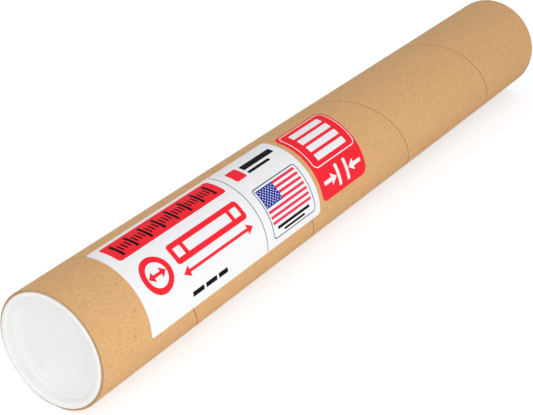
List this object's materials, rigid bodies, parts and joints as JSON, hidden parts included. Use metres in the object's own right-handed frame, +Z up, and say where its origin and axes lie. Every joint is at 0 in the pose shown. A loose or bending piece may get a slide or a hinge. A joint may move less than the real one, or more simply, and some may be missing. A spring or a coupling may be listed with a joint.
{
  "type": "round mailing tube",
  "caption": "Round kraft mailing tube: a spiral-wound paper wall, a push-in plastic plug in each end and two paper labels. It holds rolled sheets for posting.",
  "frame": {"origin": "middle of the tube's length, at the bottom of its round, where it lies on a surface", "axes": "+X along the tube to its far end, +Z up, -Y to the side that carries the labels"},
  "size_m": [0.6124, 0.0834, 0.0832],
  "materials": {
    "kraft": "matt kraft paper",
    "plug_plastic": "satin white moulding",
    "label_white": "smooth label paper",
    "label_red": "smooth printed label paper"
  },
  "bodies": {
    "tube": {"tube": "kraft", "size_label": "label_white", "grade_label": "label_red"},
    "near_cap": {"near_end_cap": "plug_plastic"},
    "far_cap": {"far_end_cap": "plug_plastic"}
  },
  "joints": [
    {"name": "near_cap_pull", "type": "slide", "parent": "tube", "child": "near_cap", "axis": [-1, 0, 0], "range_m": [0, 0.04]},
    {"name": "far_cap_pull", "type": "slide", "parent": "tube", "child": "far_cap", "axis": [1, 0, 0], "range_m": [0, 0.04]}
  ]
}
